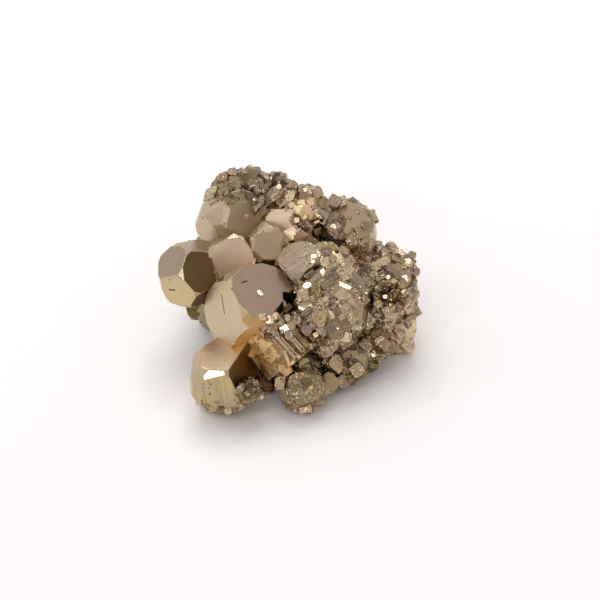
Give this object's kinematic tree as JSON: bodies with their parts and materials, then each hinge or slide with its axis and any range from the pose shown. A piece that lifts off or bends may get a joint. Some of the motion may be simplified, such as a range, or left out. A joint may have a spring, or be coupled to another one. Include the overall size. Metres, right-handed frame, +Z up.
{
  "type": "pyrite specimen",
  "caption": "Cluster of metallic brassy crystals, cubes with cut corners grown into each other, with sparkling lobes of small crystals and a dark pit; rests on a flat underside.",
  "frame": {"origin": "middle of the box round the specimen, on its flat underside", "axes": "+X to the right of the specimen as seen from its front, +Y to its back, +Z up"},
  "size_m": [0.0508, 0.0494, 0.0294],
  "materials": {
    "pyrite": "bright metallic crystal faces, pale brassy yellow, with fine growth lines and slight tarnish",
    "dark_pyrite": "small dark brown metallic crystals with bright facets"
  },
  "bodies": {
    "root": {"pyrite_cluster": "pyrite", "vug_crust": "dark_pyrite"}
  },
  "joints": []
}
